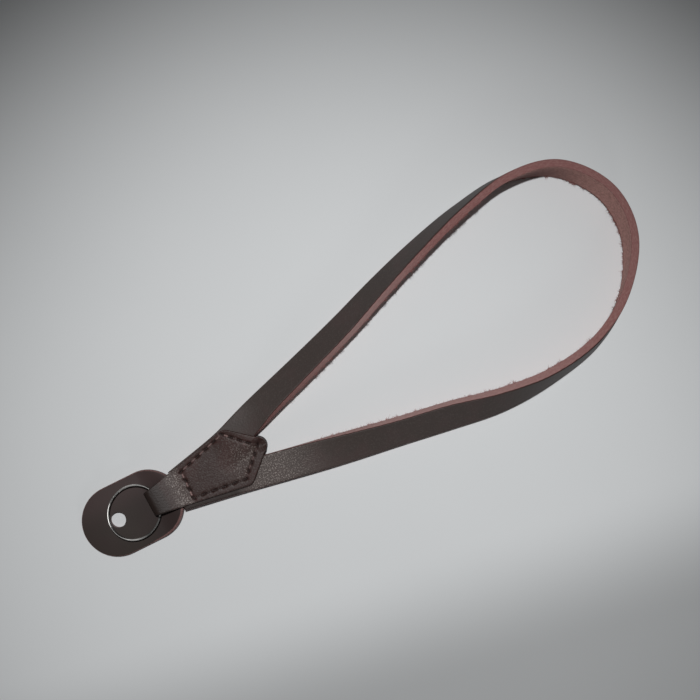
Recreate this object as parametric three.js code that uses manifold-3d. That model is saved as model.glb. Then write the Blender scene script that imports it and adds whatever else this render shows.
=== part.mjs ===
// Camera wrist strap: a leather strip doubled into a wrist loop, its two ends stitched into a
// folded leather tab that holds a split ring, and a stadium-shaped pad that keeps the ring off
// the camera body. Lying on a table. Millimetres, +Z up, +X from the ring to the far end of the loop.

import * as THREE from 'three'
import { mergeVertices } from 'three/addons/utils/BufferGeometryUtils.js'
import Module from 'manifold-3d'

const wasm = await Module()
wasm.setup()

// ---- driving dimensions -------------------------------------------------------------------

const GAP = 0.3               // between pieces that touch

const STRAP_WIDTH = 10
const STRAP_THICK = 2.7
const STRAP_STEPS = 6         // sections per row of the strap table
const STRAP_END_SLANTS = [0.4, 1.5]   // how far each end's outer corner reaches past square

const TAB_THICK = 1.2
const TAB_BASE_X = 13.8       // where the neck meets the stitched pentagon
const TAB_BASE_HALF = 6.45
const TAB_SHOULDER_X = 34.3
const TAB_SHOULDER_HALF = 10.45
const TAB_SHOULDER_ROUND = 1.6
const TAB_TIP_X = 46.1        // where the two slanting edges would meet
const TAB_TIP_ROUND = 3.1
const TAB_COLUMNS = [-1, -0.6, -0.2, 0.2, 0.6, 1]   // places across it, in half widths
const TAB_CLIMB = { from: 27, to: 40, upper: 1.5, lower: 0.2 }   // over the edge of each strap leg
const TAB_DIP = { from: 38.5, depth: 3.2 }    // between the strap's legs, drawn down by the seam
const NECK_HALF = 4.2         // half width of the neck where it folds round the ring

const RING_LONG = 18.4       // the ring is sprung a little oval: its wire's middle, the long way
const RING_SHORT = 16.94
const RING_OVAL_TURN = 32   // degrees from +X to its long way
const RING_TILT = 1.5         // degrees that its far side hangs down
const RING_WIRE = 0.62
const RING_COIL_PITCH = 0.7  // the two coils of the split ring, one above the other
const RING_X = -4.5
const RING_Y = 0.12
const RING_STEP_HALF = 35     // degrees either side of the place where the wire steps up a coil
const RING_STEPS = 72
const RING_SIDES = 8

const PAD_THICK = 2
const PAD_RADIUS = 11.85
const PAD_SPAN = 11.55        // between the centres of its two round ends
const PAD_TURN = -2.1         // degrees that it is askew to the tab
const PAD_Y = -0.2
const LUG_HOLE = 5.2
const LUG_HOLE_X = -11.1
const LUG_HOLE_Y = 0.35
const SLIT_X = 6.7            // middle of the slit that the tab's lower layer passes down through
const SLIT_WIDTH = 3.3
const PAD_BEND_FROM = 4.2     // left of this the pad lies flat, right of it it climbs
const PAD_BEND_TO = 8.6
const PAD_END_RISE = 0.7      // its right end curls up a little more

// Heights in the stitched sandwich: lower layer, strap end, upper layer.
const LOWER_Z = TAB_THICK / 2
const STRAP_LIFT = TAB_THICK + GAP
const UPPER_Z = STRAP_LIFT + STRAP_THICK + GAP + TAB_THICK / 2

// The fold round the ring, seen from the side.
const RING_PLAY = 0.1         // the ring lies askew in the fold, which is this much wider
const FOLD_RADIUS = (RING_WIRE + RING_COIL_PITCH + TAB_THICK) / 2 + GAP + RING_PLAY
const FOLD_X = 3.35
const FOLD_Z = 5.05
const DROP_FROM = 4.6         // where the lower layer turns down through the slit
const DROP_TO = 8.4

// The middle of the strap, from the end in the upper-left of the tab round to the other end.
// lean: degrees that the inner edge is turned up out of the flat, grain side outward.
// lift: height of the lowest edge above the table.
const STRAP_ROWS = [
  { x: 12.6, y: 1.55, lean: 0, lift: STRAP_LIFT },
  { x: 30.6, y: 5.0, lean: 0, lift: STRAP_LIFT },
  { x: 41.0, y: 8.1, lean: 8, lift: 1.3 },
  { x: 50.5, y: 11.1, lean: 27, lift: 0.4 },
  { x: 67.2, y: 15.9, lean: 37, lift: 0 },
  { x: 84.7, y: 21.1, lean: 43, lift: 0 },
  { x: 101.9, y: 26.9, lean: 52, lift: 0 },
  { x: 119.1, y: 32.1, lean: 62, lift: 0 },
  { x: 136.8, y: 36.4, lean: 74, lift: 0 },
  { x: 154.9, y: 38.4, lean: 86, lift: 0 },
  { x: 171.5, y: 33.3, lean: 100, lift: 0 },
  { x: 182.1, y: 18.9, lean: 101, lift: 0 },
  { x: 181.8, y: 1.8, lean: 94, lift: 0 },
  { x: 171.2, y: -13.7, lean: 81, lift: 0 },
  { x: 156.0, y: -22.8, lean: 76, lift: 0 },
  { x: 137.9, y: -25.9, lean: 69, lift: 0 },
  { x: 119.8, y: -25.1, lean: 50, lift: 0 },
  { x: 102.0, y: -21.5, lean: 34, lift: 0 },
  { x: 84.3, y: -18.0, lean: 31, lift: 0 },
  { x: 66.8, y: -14.4, lean: 17, lift: 0.5 },
  { x: 49.4, y: -10.6, lean: 1, lift: 1.3 },
  { x: 30.6, y: -6.4, lean: 0, lift: STRAP_LIFT },
  { x: 12.6, y: -2.75, lean: 0, lift: STRAP_LIFT },
]

// ---- shared tools ---------------------------------------------------------------------------

const material = (color, roughness, metalness = 0) =>
  new THREE.MeshStandardMaterial({ color, roughness, metalness })

const grainLeather = material(0x3d3835, 0.55)
const strapLeather = material(0x4a3f3a, 0.6)
const steel = material(0xb9b6b1, 0.25, 1)

// A closed solid through cross-sections of equal point count, each wound the same way.
function loft(sections) {
  const count = sections[0].length
  const positions = sections.flat().flatMap((p) => [p.x, p.y, p.z])
  const index = []
  for (let s = 0; s + 1 < sections.length; s++) {
    for (let i = 0; i < count; i++) {
      const a = s * count + i
      const b = s * count + ((i + 1) % count)
      index.push(a, b, b + count, a, b + count, a + count)
    }
  }
  const last = (sections.length - 1) * count
  for (let a = 0; a + 1 < count / 2; a++) {
    const [b, c, d] = [a + 1, count - 2 - a, count - 1 - a]
    index.push(a, c, b, a, d, c)
    index.push(last + a, last + b, last + c, last + a, last + c, last + d)
  }
  const geometry = new THREE.BufferGeometry()
  geometry.setAttribute('position', new THREE.Float32BufferAttribute(positions, 3))
  geometry.setIndex(index)
  return geometry
}

function toManifold(geometry) {
  const bare = geometry.clone()
  bare.deleteAttribute('normal')
  bare.deleteAttribute('uv')
  const merged = mergeVertices(bare)
  return new wasm.Manifold(new wasm.Mesh({
    numProp: 3,
    vertProperties: new Float32Array(merged.attributes.position.array),
    triVerts: new Uint32Array(merged.index.array),
  }))
}

function fromManifold(solid) {
  const mesh = solid.getMesh()
  const geometry = new THREE.BufferGeometry()
  geometry.setAttribute('position', new THREE.BufferAttribute(mesh.vertProperties, 3))
  geometry.setIndex(new THREE.BufferAttribute(mesh.triVerts, 1))
  return geometry
}

function piece(name, geometry, look) {
  geometry.computeVertexNormals()
  const mesh = new THREE.Mesh(geometry, look)
  mesh.name = name
  return mesh
}

const smooth = (value, from, to) => THREE.MathUtils.smoothstep(value, from, to)

// ---- strap ----------------------------------------------------------------------------------

// One leather strip. Flat where it enters the tab, it turns up on its outer edge round the loop.
function strapGeometry() {
  const columns = (key) => STRAP_ROWS.map((row) => row[key])
  const at = (values, row, part) => {
    const end = values.length - 1
    const before = row > 0 ? values[row - 1] : 2 * values[0] - values[1]
    const after = row + 2 <= end ? values[row + 2] : 2 * values[end] - values[end - 1]
    return catmullRom(before, values[row], values[row + 1], after, part)
  }
  const [xs, ys, leans, lifts] = ['x', 'y', 'lean', 'lift'].map(columns)
  const samples = []
  const total = (STRAP_ROWS.length - 1) * STRAP_STEPS
  for (let step = 0; step <= total; step++) {
    const row = Math.min(Math.floor(step / STRAP_STEPS), STRAP_ROWS.length - 2)
    const part = step / STRAP_STEPS - row
    samples.push({
      x: at(xs, row, part),
      y: at(ys, row, part),
      lean: THREE.MathUtils.degToRad(Math.max(at(leans, row, part), 0)),
      lift: THREE.MathUtils.clamp(at(lifts, row, part), 0, STRAP_LIFT),
    })
  }
  return loft(samples.map((sample, i) => {
    const ahead = samples[Math.min(i + 1, total)]
    const behind = samples[Math.max(i - 1, 0)]
    const heading = Math.atan2(ahead.y - behind.y, ahead.x - behind.x)
    const slants = { 0: -STRAP_END_SLANTS[0], [total]: STRAP_END_SLANTS[1] }
    return strapSection(sample, heading, slants[i] ?? 0)
  }))
}

function catmullRom(p0, p1, p2, p3, t) {
  const a = 2 * p1
  const b = p2 - p0
  const c = 2 * p0 - 5 * p1 + 4 * p2 - p3
  const d = 3 * p1 - p0 - 3 * p2 + p3
  return 0.5 * (a + b * t + c * t * t + d * t * t * t)
}

// The strip's four corners at one place, for a strip that runs along heading. At its ends the outer
// corners are moved along it by slant.
function strapSection({ x, y, lean, lift }, heading, slant) {
  const along = new THREE.Vector3(Math.cos(heading), Math.sin(heading), 0)
  const inward = new THREE.Vector3(Math.sin(heading), -Math.cos(heading), 0)
  const up = new THREE.Vector3(0, 0, 1)
  const across = inward.clone().multiplyScalar(Math.cos(lean)).addScaledVector(up, Math.sin(lean))
  const grain = inward.clone().multiplyScalar(-Math.sin(lean)).addScaledVector(up, Math.cos(lean))
  const half = STRAP_WIDTH / 2
  const height = half * Math.abs(Math.sin(lean)) + (STRAP_THICK / 2) * Math.abs(Math.cos(lean))
  const middle = new THREE.Vector3(x, y, height + lift)
  // Between the tab's layers the two ends are trimmed to meet along the middle of the tab.
  const room = (Math.abs(y) - GAP / 2) / Math.cos(heading)
  const inner = x < TAB_TIP_X ? Math.min(half, Math.abs(room)) : half
  const corner = (u, v) => middle.clone()
    .addScaledVector(across, u)
    .addScaledVector(grain, v)
    .addScaledVector(along, u < 0 ? slant : 0)
  const flesh = -STRAP_THICK / 2
  const face = STRAP_THICK / 2
  return [corner(-half, flesh), corner(-half, face), corner(inner, face), corner(inner, flesh)]
}

// ---- ring tab -------------------------------------------------------------------------------

// Half width of the tab's outline at a distance x along it, from the neck to the rounded tip.
function tabHalfWidth(x) {
  if (x <= TAB_BASE_X) {
    return THREE.MathUtils.mapLinear(x, FOLD_X - FOLD_RADIUS, TAB_BASE_X, NECK_HALF, TAB_BASE_HALF)
  }
  const slope = (TAB_SHOULDER_HALF - TAB_BASE_HALF) / (TAB_SHOULDER_X - TAB_BASE_X)
  const side = TAB_BASE_HALF + slope * (x - TAB_BASE_X)
  const slant = TAB_SHOULDER_HALF * (TAB_TIP_X - x) / (TAB_TIP_X - TAB_SHOULDER_X)
  return Math.min(roundedMin(side, slant, TAB_SHOULDER_ROUND), tipHalfWidth(x))
}

// The lesser of two values, blended over a band so that the corner between them is round.
function roundedMin(a, b, band) {
  const mix = Math.max(band - Math.abs(a - b), 0) / band
  return Math.min(a, b) - (mix * mix * band) / 4
}

// The arc that rounds the tip off, tangent to the two slanting edges.
const TIP_HALF_ANGLE = Math.atan2(TAB_SHOULDER_HALF, TAB_TIP_X - TAB_SHOULDER_X)
const TIP_ARC_X = TAB_TIP_X - TAB_TIP_ROUND / Math.sin(TIP_HALF_ANGLE)
const TIP_END_X = TIP_ARC_X + TAB_TIP_ROUND
const TIP_TANGENT_X = TIP_ARC_X + TAB_TIP_ROUND * Math.sin(TIP_HALF_ANGLE)

function tipHalfWidth(x) {
  if (x < TIP_TANGENT_X) return Infinity
  return Math.sqrt(Math.max(TAB_TIP_ROUND ** 2 - (x - TIP_ARC_X) ** 2, 0))
}

const TIP_BLUNT = 0.05        // the tip closes on a short edge, not on a point
const TAB_OUTLINE_X = [
  TIP_END_X - TIP_BLUNT, TIP_END_X - 0.3, TIP_END_X - 0.8, TIP_TANGENT_X, 42.4, 41.2, 40, 37,
  35.2, 34.6, 34.1, 33.6, 33, 32, 28, 23, 18, TAB_BASE_X,
]

// How far the upper layer is from flat: it climbs over the edge of the strap's turned-up leg, and
// between the two legs it dips towards the lower layer.
function upperRise(x, y) {
  const height = THREE.MathUtils.lerp(TAB_CLIMB.lower, TAB_CLIMB.upper, smooth(y, -2.5, 3))
  const climb = height * smooth(x, TAB_CLIMB.from, TAB_CLIMB.to)
  const dip = TAB_DIP.depth * smooth(x, TAB_DIP.from, TIP_END_X) * (1 - smooth(Math.abs(y), 0.4, 2.8))
  return climb - dip
}

// The middle of the leather's thickness, seen from the side: along the upper layer to the neck,
// round the ring, down through the pad's slit and back along the lower layer.
function tabPath() {
  const upper = TAB_OUTLINE_X.map((x) => ({ x, z: UPPER_Z }))
  const neckTop = FOLD_Z + FOLD_RADIUS
  const neck = [12, 10, 8, 6].map((x) => ({
    x,
    z: THREE.MathUtils.lerp(neckTop, UPPER_Z, smooth(x, FOLD_X, TAB_BASE_X)),
  }))
  const fold = []
  for (let degrees = 90; degrees <= 270; degrees += 22.5) {
    const angle = THREE.MathUtils.degToRad(degrees)
    fold.push({
      x: FOLD_X + FOLD_RADIUS * Math.cos(angle),
      z: FOLD_Z + FOLD_RADIUS * Math.sin(angle),
    })
  }
  const foldBottom = FOLD_Z - FOLD_RADIUS
  const down = [DROP_FROM, 5.2, 5.7, 6.2, 6.7, 7.2, 7.8, DROP_TO].map((x) => ({
    x,
    z: THREE.MathUtils.lerp(foldBottom, LOWER_Z, smooth(x, DROP_FROM, DROP_TO)),
  }))
  const lower = [...TAB_OUTLINE_X].reverse().map((x) => ({ x, z: LOWER_Z }))
  return [...upper, ...neck, ...fold, ...down, { x: 10.5, z: LOWER_Z }, ...lower]
}

// The lower layer keeps the fold's width until it is through the slit.
function layerHalfWidth(x, isLower) {
  return isLower && x < 10 ? NECK_HALF : tabHalfWidth(x)
}

function tabGeometry() {
  const path = tabPath()
  const turn = path.findIndex(({ x, z }) => z < FOLD_Z && x > FOLD_X)
  // One line of the leather, from tip to tip, at a share of its half width.
  const column = (share) => path.map(({ x, z }, i) => {
    const y = share * Math.max(layerHalfWidth(x, i >= turn), TIP_BLUNT)
    return { x, y, z: i < turn ? z + upperRise(x, y) : z }
  })
  const columns = TAB_COLUMNS.map((share) => column(share))
  const end = path.length - 1
  return loft(path.map((_, i) => {
    const corner = (line, face) => {
      const { x, y, z } = line[i]
      const ahead = line[Math.min(i + 1, end)]
      const behind = line[Math.max(i - 1, 0)]
      const heading = Math.atan2(ahead.z - behind.z, ahead.x - behind.x)
      const half = (face * TAB_THICK) / 2
      return new THREE.Vector3(x - half * Math.sin(heading), y, z + half * Math.cos(heading))
    }
    const under = columns.map((line) => corner(line, -1))
    const over = columns.map((line) => corner(line, 1)).reverse()
    return [...under, ...over]
  }))
}

// ---- ring -----------------------------------------------------------------------------------

// A split ring: one wire wound nearly twice round, stepping up one coil inside the tab's fold.
function ringGeometry() {
  const radius = (RING_LONG + RING_SHORT) / 4
  const start = RING_STEP_HALF + 3
  const end = 720 - RING_STEP_HALF - 3
  const sections = []
  for (let i = 0; i <= RING_STEPS; i++) {
    const degrees = THREE.MathUtils.mapLinear(i, 0, RING_STEPS, start, end)
    const angle = THREE.MathUtils.degToRad(degrees)
    const z = RING_COIL_PITCH * smooth(degrees, 360 - RING_STEP_HALF, 360 + RING_STEP_HALF)
    const section = []
    for (let side = 0; side < RING_SIDES; side++) {
      const turn = -(side / RING_SIDES) * 2 * Math.PI
      const reach = radius + (RING_WIRE / 2) * Math.cos(turn)
      section.push(new THREE.Vector3(
        reach * Math.cos(angle),
        reach * Math.sin(angle),
        z + (RING_WIRE / 2) * Math.sin(turn),
      ))
    }
    sections.push(section)
  }
  const turn = THREE.MathUtils.degToRad(RING_OVAL_TURN)
  return loft(sections)
    .rotateZ(-turn)
    .scale(RING_LONG / 2 / radius, RING_SHORT / 2 / radius, 1)
    .rotateZ(turn)
}

// The ring lies nearly level, held in the tab's fold.
function placeRing(ring) {
  const tilt = THREE.MathUtils.degToRad(RING_TILT)
  ring.rotation.y = -tilt
  ring.position.set(
    RING_X,
    RING_Y,
    FOLD_Z - (FOLD_X - RING_X) * Math.sin(tilt) - (RING_COIL_PITCH / 2) * Math.cos(tilt),
  )
}

// ---- lug pad --------------------------------------------------------------------------------

// Underside of the pad: flat on the table, then bent up over the tab's lower layer.
function padRise(x) {
  const curl = Math.max(x - PAD_BEND_TO, 0) / (PAD_RADIUS - PAD_BEND_TO)
  return (TAB_THICK + GAP) * smooth(x, PAD_BEND_FROM, PAD_BEND_TO) + PAD_END_RISE * curl
}

function padHalfWidth(x) {
  const beyond = Math.max(x, -PAD_SPAN - x, 0)
  return Math.sqrt(Math.max(PAD_RADIUS ** 2 - beyond ** 2, TIP_BLUNT ** 2))
}

function padGeometry() {
  const stations = []
  const roundSteps = 10
  for (let i = 0; i <= roundSteps; i++) {
    stations.push(-PAD_SPAN - PAD_RADIUS * Math.cos((i / roundSteps) * Math.PI / 2))
  }
  stations.push(0)
  for (let i = 1; i <= roundSteps; i++) {
    stations.push(PAD_RADIUS * Math.sin((i / roundSteps) * Math.PI / 2))
  }
  const slab = loft(stations.map((x) => {
    const half = padHalfWidth(x)
    const low = padRise(x)
    const corner = (side, z) => new THREE.Vector3(x, side * half, z)
    return [corner(-1, low), corner(1, low), corner(1, low + PAD_THICK), corner(-1, low + PAD_THICK)]
  }))
  slab.rotateZ(THREE.MathUtils.degToRad(PAD_TURN)).translate(0, PAD_Y, 0)
  const hole = new THREE.CylinderGeometry(LUG_HOLE / 2, LUG_HOLE / 2, 4 * PAD_THICK, 28)
  hole.rotateX(Math.PI / 2)
  hole.translate(LUG_HOLE_X, LUG_HOLE_Y, 0)
  const slit = new THREE.BoxGeometry(SLIT_WIDTH, 2 * (NECK_HALF + GAP), 4 * PAD_THICK)
  slit.translate(SLIT_X, 0, PAD_THICK)
  return fromManifold(toManifold(slab).subtract(toManifold(hole)).subtract(toManifold(slit)))
}

// ---- the whole strap ------------------------------------------------------------------------

const wristStrap = new THREE.Group()

const ring = piece('ring', ringGeometry(), steel)
placeRing(ring)

wristStrap.add(
  piece('strap', strapGeometry(), strapLeather),
  piece('ring_tab', tabGeometry(), grainLeather),
  ring,
  piece('lug_pad', padGeometry(), grainLeather),
)

// The origin is on the table, below the middle of the whole.
const middle = new THREE.Box3().setFromObject(wristStrap, true).getCenter(new THREE.Vector3())
wristStrap.position.set(-middle.x, -middle.y, 0)

export default wristStrap
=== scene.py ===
"""A leather camera wrist strap, lying on a pale table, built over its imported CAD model.

The sections follow the strap as it is put together: the strip, the fluff on its raw side, the
folded tab, the sewing, the split ring and the pad. Then come the table, the lamps and the camera.
"""

import math
import random

import bpy
import numpy as np
from mathutils import Matrix, Vector


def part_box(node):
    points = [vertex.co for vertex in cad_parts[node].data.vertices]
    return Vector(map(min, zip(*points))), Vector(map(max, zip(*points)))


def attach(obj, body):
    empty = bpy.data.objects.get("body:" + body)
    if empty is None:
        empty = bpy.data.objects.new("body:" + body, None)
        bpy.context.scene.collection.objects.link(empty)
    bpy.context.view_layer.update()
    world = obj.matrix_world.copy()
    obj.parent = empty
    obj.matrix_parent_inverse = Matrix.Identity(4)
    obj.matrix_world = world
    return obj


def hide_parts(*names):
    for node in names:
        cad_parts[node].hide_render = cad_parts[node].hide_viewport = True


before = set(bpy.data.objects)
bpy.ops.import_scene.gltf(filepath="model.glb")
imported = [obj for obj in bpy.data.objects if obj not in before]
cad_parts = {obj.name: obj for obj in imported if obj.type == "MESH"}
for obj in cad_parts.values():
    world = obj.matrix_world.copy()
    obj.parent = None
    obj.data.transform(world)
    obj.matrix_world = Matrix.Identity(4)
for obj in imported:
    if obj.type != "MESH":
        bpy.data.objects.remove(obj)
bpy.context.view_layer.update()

# ---- The strip ---------------------------------------------------------------------------------
# One long strip cut from a thick hide: dyed, pebbled grain outside, raw pink suede inside, raw cut
# edges. It is doubled round into the wrist loop, and stands up on its outer edge at the far end.

MM = 0.001
STRAP_WIDTH = 10 * MM
STRAP_THICK = 2.7 * MM
SEWN_END_X = 46.1 * MM      # up to here the strip's two ends lie between the layers of the tab
END_CLEARANCE = 0.15 * MM   # each end is trimmed to this distance from the middle of the tab
END_SLANTS = (0.4 * MM, 1.5 * MM)   # how far each end's outer corner reaches past square
SLANT_LENGTH = 9 * MM       # the slant dies away over this much of the strip
HELD_HEIGHT = 1.5 * MM      # the tab holds the strip's ends this far above the table
GRAIN_CORNER = 0.4 * MM     # the grain side's corners are worn this round
RAW_CORNER = 0.15 * MM      # the raw side's are nearly sharp
LINES_ACROSS = (-4.2, -3, -1.5, 0, 1.5, 3, 4.2)     # lines that run along the strip's faces
LINES_THROUGH = (-0.8, -0.3, 0.3)                   # and along its cut edges, in millimetres
LENGTHWISE_CUTS = (29, 29)  # the strip is parted into 30 lengths, and each of them into 30 again

# The maker's frame has its origin on the table, in line with the tab's middle and a little on the
# ring's side of the place where the tab folds round the ring.
FOLD_END_X = 1.09 * MM
tab_low, tab_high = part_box("ring_tab")
tab_origin = Vector((tab_low.x - FOLD_END_X, (tab_low.y + tab_high.y) / 2, 0))

# The strip's middle line, end to end: x, y, how far the inner edge is turned up (degrees), and
# the height of the lowest edge above the table. All in millimetres in the maker's frame.
STRAP_ROWS = [
    (12.6, 1.55, 0, 1.5),
    (30.6, 5.0, 0, 1.5),
    (41.0, 8.1, 8, 1.3),
    (50.5, 11.1, 27, 0.4),
    (67.2, 15.9, 37, 0),
    (84.7, 21.1, 43, 0),
    (101.9, 26.9, 52, 0),
    (119.1, 32.1, 62, 0),
    (136.8, 36.4, 74, 0),
    (154.9, 38.4, 86, 0),
    (171.5, 33.3, 100, 0),
    (182.1, 18.9, 101, 0),
    (181.8, 1.8, 94, 0),
    (171.2, -13.7, 81, 0),
    (156.0, -22.8, 76, 0),
    (137.9, -25.9, 69, 0),
    (119.8, -25.1, 50, 0),
    (102.0, -21.5, 34, 0),
    (84.3, -18.0, 31, 0),
    (66.8, -14.4, 17, 0.5),
    (49.4, -10.6, 1, 1.3),
    (30.6, -6.4, 0, 1.5),
    (12.6, -2.75, 0, 1.5),
]
ROUTE_STEPS = 24


def strap_route():
    """The strip's middle line in metres, with its lean in radians and its lift: a smooth curve
    through every row, which between rows never leans back or lifts past the held height."""
    rows = np.array(STRAP_ROWS, float)
    rows = np.vstack([2 * rows[0] - rows[1], rows, 2 * rows[-1] - rows[-2]])
    line = []
    for before, start, end, after in zip(rows, rows[1:], rows[2:], rows[3:]):
        for t in np.arange(ROUTE_STEPS) / ROUTE_STEPS:
            bend = 2 * before - 5 * start + 4 * end - after
            twist = 3 * start - before - 3 * end + after
            line.append(0.5 * (2 * start + (end - before) * t + bend * t**2 + twist * t**3))
    line.append(rows[-2])
    line = np.array(line)
    lift = np.clip(line[:, 3] * MM, 0, HELD_HEIGHT)
    return line[:, :2] * MM, np.radians(np.maximum(line[:, 2], 0)), lift


def rail(name, points, tilts, twist):
    """A guide line that a flat piece is bent along."""
    guide = bpy.data.curves.new(name, "CURVE")
    guide.dimensions = "3D"
    guide.twist_mode = twist
    spline = guide.splines.new("POLY")
    spline.points.add(len(points) - 1)
    for point, place, tilt in zip(spline.points, points, tilts):
        point.co = (*place, 1)
        point.tilt = tilt
    holder = bpy.data.objects.new(name, guide)
    bpy.context.scene.collection.objects.link(holder)
    return holder


strap_xy, strap_lean, strap_lift = strap_route()
rise = STRAP_WIDTH / 2 * np.abs(np.sin(strap_lean)) + STRAP_THICK / 2 * np.abs(np.cos(strap_lean))
strap_line = np.column_stack([strap_xy, rise + strap_lift]) + np.array(tab_origin)
strap_rail = rail("strap_rail", strap_line, -strap_lean, "Z_UP")
strap_run = np.concatenate([[0], np.cumsum(np.linalg.norm(np.diff(strap_line, axis=0), axis=1))])
STRAP_LENGTH = strap_run[-1]

# How far the strip's inner edge may reach from its middle, where the tab holds it.
heading = np.gradient(strap_xy[:, 1], strap_run) / np.gradient(strap_xy[:, 0], strap_run)
room = (np.abs(strap_xy[:, 1]) - END_CLEARANCE) * np.sqrt(1 + heading**2)
trimmed_reach = np.minimum(room, STRAP_WIDTH / 2)
inner_reach = np.where(strap_xy[:, 0] < SEWN_END_X, trimmed_reach, STRAP_WIDTH / 2)


def use_only(piece):
    """Makes one object the only one selected, and the one that operators work on."""
    bpy.ops.object.select_all(action="DESELECT")
    piece.select_set(True)
    bpy.context.view_layer.objects.active = piece


def pick(piece, chosen, kind="EDGE"):
    """Selects, in edit mode, the vertices, edges or faces of a piece for which chosen says yes."""
    bpy.ops.mesh.select_all(action="DESELECT")
    bpy.ops.object.mode_set(mode="OBJECT")
    parts = {"VERT": piece.data.vertices, "EDGE": piece.data.edges, "FACE": piece.data.polygons}
    for part in parts[kind]:
        part.select = bool(chosen(part))
    bpy.ops.object.mode_set(mode="EDIT")
    bpy.ops.mesh.select_mode(type=kind)


def edge_ends(piece, edge):
    """The two ends of an edge."""
    first, second = edge.vertices
    return piece.data.vertices[first].co, piece.data.vertices[second].co


def runs_along(piece, edge, axis):
    """Whether an edge runs along one axis and no other."""
    first, second = edge_ends(piece, edge)
    span = second - first
    return abs(span[axis]) > 0.99 * span.length


def slice_across(piece, axis, places):
    """Cuts new edges through a whole piece, square to one axis."""
    normal = [0, 0, 0]
    normal[axis] = 1
    for place in places:
        bpy.ops.mesh.select_all(action="SELECT")
        point = [0, 0, 0]
        point[axis] = place
        bpy.ops.mesh.bisect(plane_co=point, plane_no=normal)


def read_points(piece):
    """A piece's points as rows of x, y and z."""
    points = np.empty(len(piece.data.vertices) * 3, np.float32)
    piece.data.vertices.foreach_get("co", points)
    return points.reshape(-1, 3).astype(float)


def note_places(piece, name, places):
    """Stores a flat place for each point of a piece, for its finish to be patterned by."""
    noted = piece.data.attributes.new(name, "FLOAT_VECTOR", "POINT")
    noted.data.foreach_set("vector", np.asarray(places, np.float32).ravel())


def note(piece, name, numbers):
    """Stores a number for each point of a piece."""
    noted = piece.data.attributes.new(name, "FLOAT", "POINT")
    noted.data.foreach_set("value", np.asarray(numbers, np.float32))


def bend_along(piece, guide):
    """Bends a flat piece along a rail, and keeps the bent shape."""
    use_only(piece)
    bend = piece.modifiers.new("bend", "CURVE")
    bend.object = guide
    bend.deform_axis = "POS_X"
    bpy.ops.object.modifier_apply(modifier=bend.name)


bpy.ops.object.select_all(action="DESELECT")
bpy.ops.mesh.primitive_cube_add(
    size=1,
    location=(STRAP_LENGTH / 2, 0, 0),
    scale=(STRAP_LENGTH, STRAP_WIDTH, STRAP_THICK),
)
strap = bpy.context.object
strap.name = "strap_leather"
bpy.ops.object.transform_apply(location=True, rotation=True, scale=True)
bpy.ops.object.mode_set(mode="EDIT")

pick(strap, lambda edge: runs_along(strap, edge, 0) and edge_ends(strap, edge)[0].z > 0)
bpy.ops.mesh.bevel(offset=GRAIN_CORNER, segments=4, affect="EDGES")
pick(strap, lambda edge: runs_along(strap, edge, 0) and edge_ends(strap, edge)[0].z < 0)
bpy.ops.mesh.bevel(offset=RAW_CORNER, segments=2, affect="EDGES")
slice_across(strap, 1, [place * MM for place in LINES_ACROSS])
slice_across(strap, 2, [place * MM for place in LINES_THROUGH])
for cuts in LENGTHWISE_CUTS:
    pick(strap, lambda edge: runs_along(strap, edge, 0))
    bpy.ops.mesh.subdivide(number_cuts=cuts)
bpy.ops.object.mode_set(mode="OBJECT")
strap_flat = read_points(strap)
note_places(strap, "hide", strap_flat)

# The ends are trimmed to lie side by side in the tab, and cut aslant.
for point in strap.data.vertices:
    reach = np.interp(point.co.x, strap_run, inner_reach)
    share = (STRAP_WIDTH / 2 - point.co.y) / STRAP_WIDTH
    near_start = max(1 - point.co.x / SLANT_LENGTH, 0)
    near_end = max(1 - (STRAP_LENGTH - point.co.x) / SLANT_LENGTH, 0)
    point.co.x += (1 - share) * (END_SLANTS[1] * near_end - END_SLANTS[0] * near_start)
    point.co.y = STRAP_WIDTH / 2 - share * (STRAP_WIDTH / 2 + reach)
bend_along(strap, strap_rail)
bpy.ops.object.shade_smooth_by_angle(angle=math.radians(50))


class Value:
    """A number that a finish works out. Arithmetic on it adds the nodes that do the sum."""

    def __init__(self, finish, socket):
        self.finish = finish
        self.socket = socket

    def sum_of(self, operation, first, second=0.0):
        """One step of arithmetic."""
        return self.finish.add("Math", {"operation": operation}, {0: first, 1: second})

    def __add__(self, other):
        return self.sum_of("ADD", self, other)

    def __radd__(self, other):
        return self.sum_of("ADD", other, self)

    def __sub__(self, other):
        return self.sum_of("SUBTRACT", self, other)

    def __rsub__(self, other):
        return self.sum_of("SUBTRACT", other, self)

    def __mul__(self, other):
        return self.sum_of("MULTIPLY", self, other)

    def __rmul__(self, other):
        return self.sum_of("MULTIPLY", other, self)

    def squared(self):
        return self.sum_of("MULTIPLY", self, self)

    def root(self):
        return self.sum_of("SQRT", self)

    def size(self):
        """The number without its sign."""
        return self.sum_of("ABSOLUTE", self)

    def held(self, low, high):
        """The number, kept between low and high."""
        return self.sum_of("MINIMUM", self.sum_of("MAXIMUM", self, low), high)

    def rising(self, low, high):
        """Nought below low, one above high, and smooth between. High below low turns it round."""
        sockets = {"Value": self, "From Min": low, "From Max": high}
        return self.finish.add("MapRange", {"interpolation_type": "SMOOTHSTEP"}, sockets)


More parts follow.
